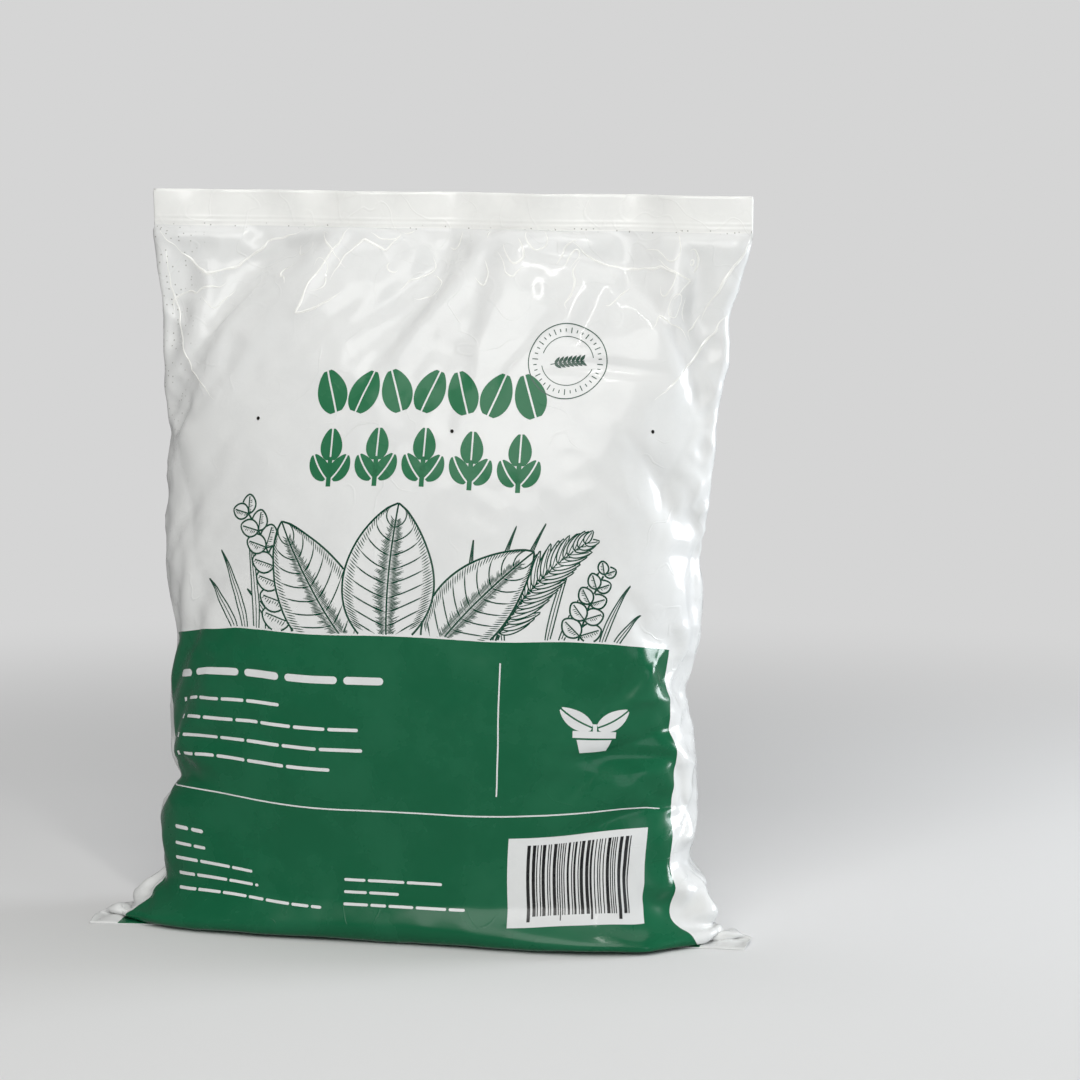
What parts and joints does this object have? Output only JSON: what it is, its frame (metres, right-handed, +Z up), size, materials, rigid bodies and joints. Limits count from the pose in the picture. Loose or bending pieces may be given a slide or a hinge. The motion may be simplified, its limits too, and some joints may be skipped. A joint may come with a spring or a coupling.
{
  "type": "compost bag",
  "caption": "Filled, heat-sealed pillow bag of glossy film standing on its base, with a flat welded band on top and pinched ears at the base corners.",
  "frame": {"origin": "middle of the bag's width and depth, at the floor it stands on", "axes": "+Z up, front of the bag towards -Y, +X to the right seen from the front"},
  "size_m": [0.346, 0.13, 0.385],
  "materials": {
    "white_film": "glossy white polyethylene film, lightly creased",
    "green_print": "green ink printed on the glossy film"
  },
  "bodies": {
    "root": {"filled_bag": "white_film"}
  },
  "joints": []
}
